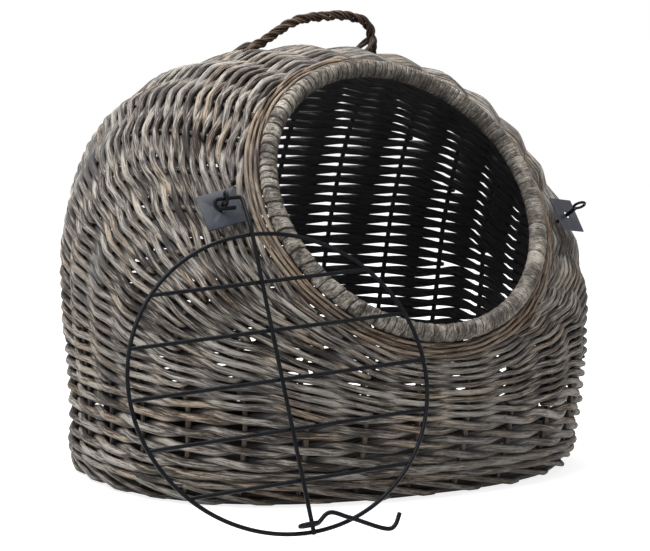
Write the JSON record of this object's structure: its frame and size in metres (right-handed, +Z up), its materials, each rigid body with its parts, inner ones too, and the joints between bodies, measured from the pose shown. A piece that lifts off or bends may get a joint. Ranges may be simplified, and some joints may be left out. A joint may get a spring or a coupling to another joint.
{
  "type": "wicker pet carrier",
  "caption": "Domed willow carrier for a small pet, with a slanted round opening, a wire door hanging open from one eye bolt, and a twisted rope handle on the crest.",
  "frame": {"origin": "centre of the base's flat underside, on the floor", "axes": "+Z up; the opening faces -Y and tilts up; +X is to the right seen from the front"},
  "size_m": [0.5384, 0.526, 0.4396],
  "materials": {
    "willow": "weathered, satin",
    "dark_willow": "shaded, satin",
    "warm_willow": "satin",
    "rim_willow": "stained, satin",
    "rope_willow": "satin",
    "black_wire": "satin black",
    "blue_steel": "dull grey-blue",
    "zinc_steel": "zinc plated"
  },
  "bodies": {
    "basket": {"foot_border": "willow", "upsett_wale": "willow", "band_weave_outer": "willow", "band_weave_inner": "dark_willow", "dome_weave_outer_left": "willow", "dome_weave_inner_left_low": "dark_willow", "dome_weave_inner_left_high": "dark_willow", "dome_weave_outer_right": "willow", "dome_weave_inner_right_low": "dark_willow", "dome_weave_inner_right_high": "dark_willow", "collar_wale": "warm_willow", "stake_01": "dark_willow", "stake_02": "dark_willow", "stake_03": "dark_willow", "stake_04": "dark_willow", "stake_05": "dark_willow", "stake_06": "dark_willow", "stake_07": "dark_willow", "stake_08": "dark_willow", "stake_09": "dark_willow", "stake_10": "dark_willow", "stake_11": "dark_willow", "stake_12": "dark_willow", "stake_13": "dark_willow", "stake_14": "dark_willow", "stake_15": "dark_willow", "stake_16": "dark_willow", "stake_17": "dark_willow", "stake_18": "dark_willow", "stake_19": "dark_willow", "stake_20": "dark_willow", "stake_21": "dark_willow", "stake_22": "dark_willow", "stake_23": "dark_willow", "stake_24": "dark_willow", "stake_25": "dark_willow", "stake_26": "dark_willow", "rim_hoop": "dark_willow", "rim_wrap": "rim_willow", "base_weave_under": "willow", "base_weave_top": "dark_willow", "base_sticks": "dark_willow", "handle_rope": "rope_willow", "left_plate": "blue_steel", "left_washer": "zinc_steel", "right_plate": "blue_steel", "right_washer": "zinc_steel", "right_nut": "zinc_steel", "right_eye_bolt": "black_wire"},
    "left_eye": {"left_eye_bolt": "black_wire", "left_nut": "zinc_steel"},
    "door": {"door_ring": "black_wire", "door_crossbar_1": "black_wire", "door_crossbar_2": "black_wire", "door_crossbar_3": "black_wire", "door_crossbar_4": "black_wire", "door_crossbar_5": "black_wire", "door_main_bar": "black_wire"},
    "hook": {"door_hook": "black_wire"}
  },
  "joints": [
    {"name": "eye_turn", "type": "hinge", "parent": "basket", "child": "left_eye", "pos_m": [-0.18, -0.16111, 0.26193], "axis": [-0.1577, -0.8425, 0.515], "range_deg": [0, 90]},
    {"name": "door_swing", "type": "hinge", "parent": "left_eye", "child": "door", "pos_m": [-0.18, -0.16111, 0.26193], "axis": [-0.9839, 0.1542, -0.0903], "range_deg": [0, 100]},
    {"name": "hook_swing", "type": "hinge", "parent": "door", "child": "hook", "pos_m": [-0.16372, -0.28258, 0.00995], "axis": [0.0249, -0.3822, -0.9237], "range_deg": [0, 120]}
  ]
}
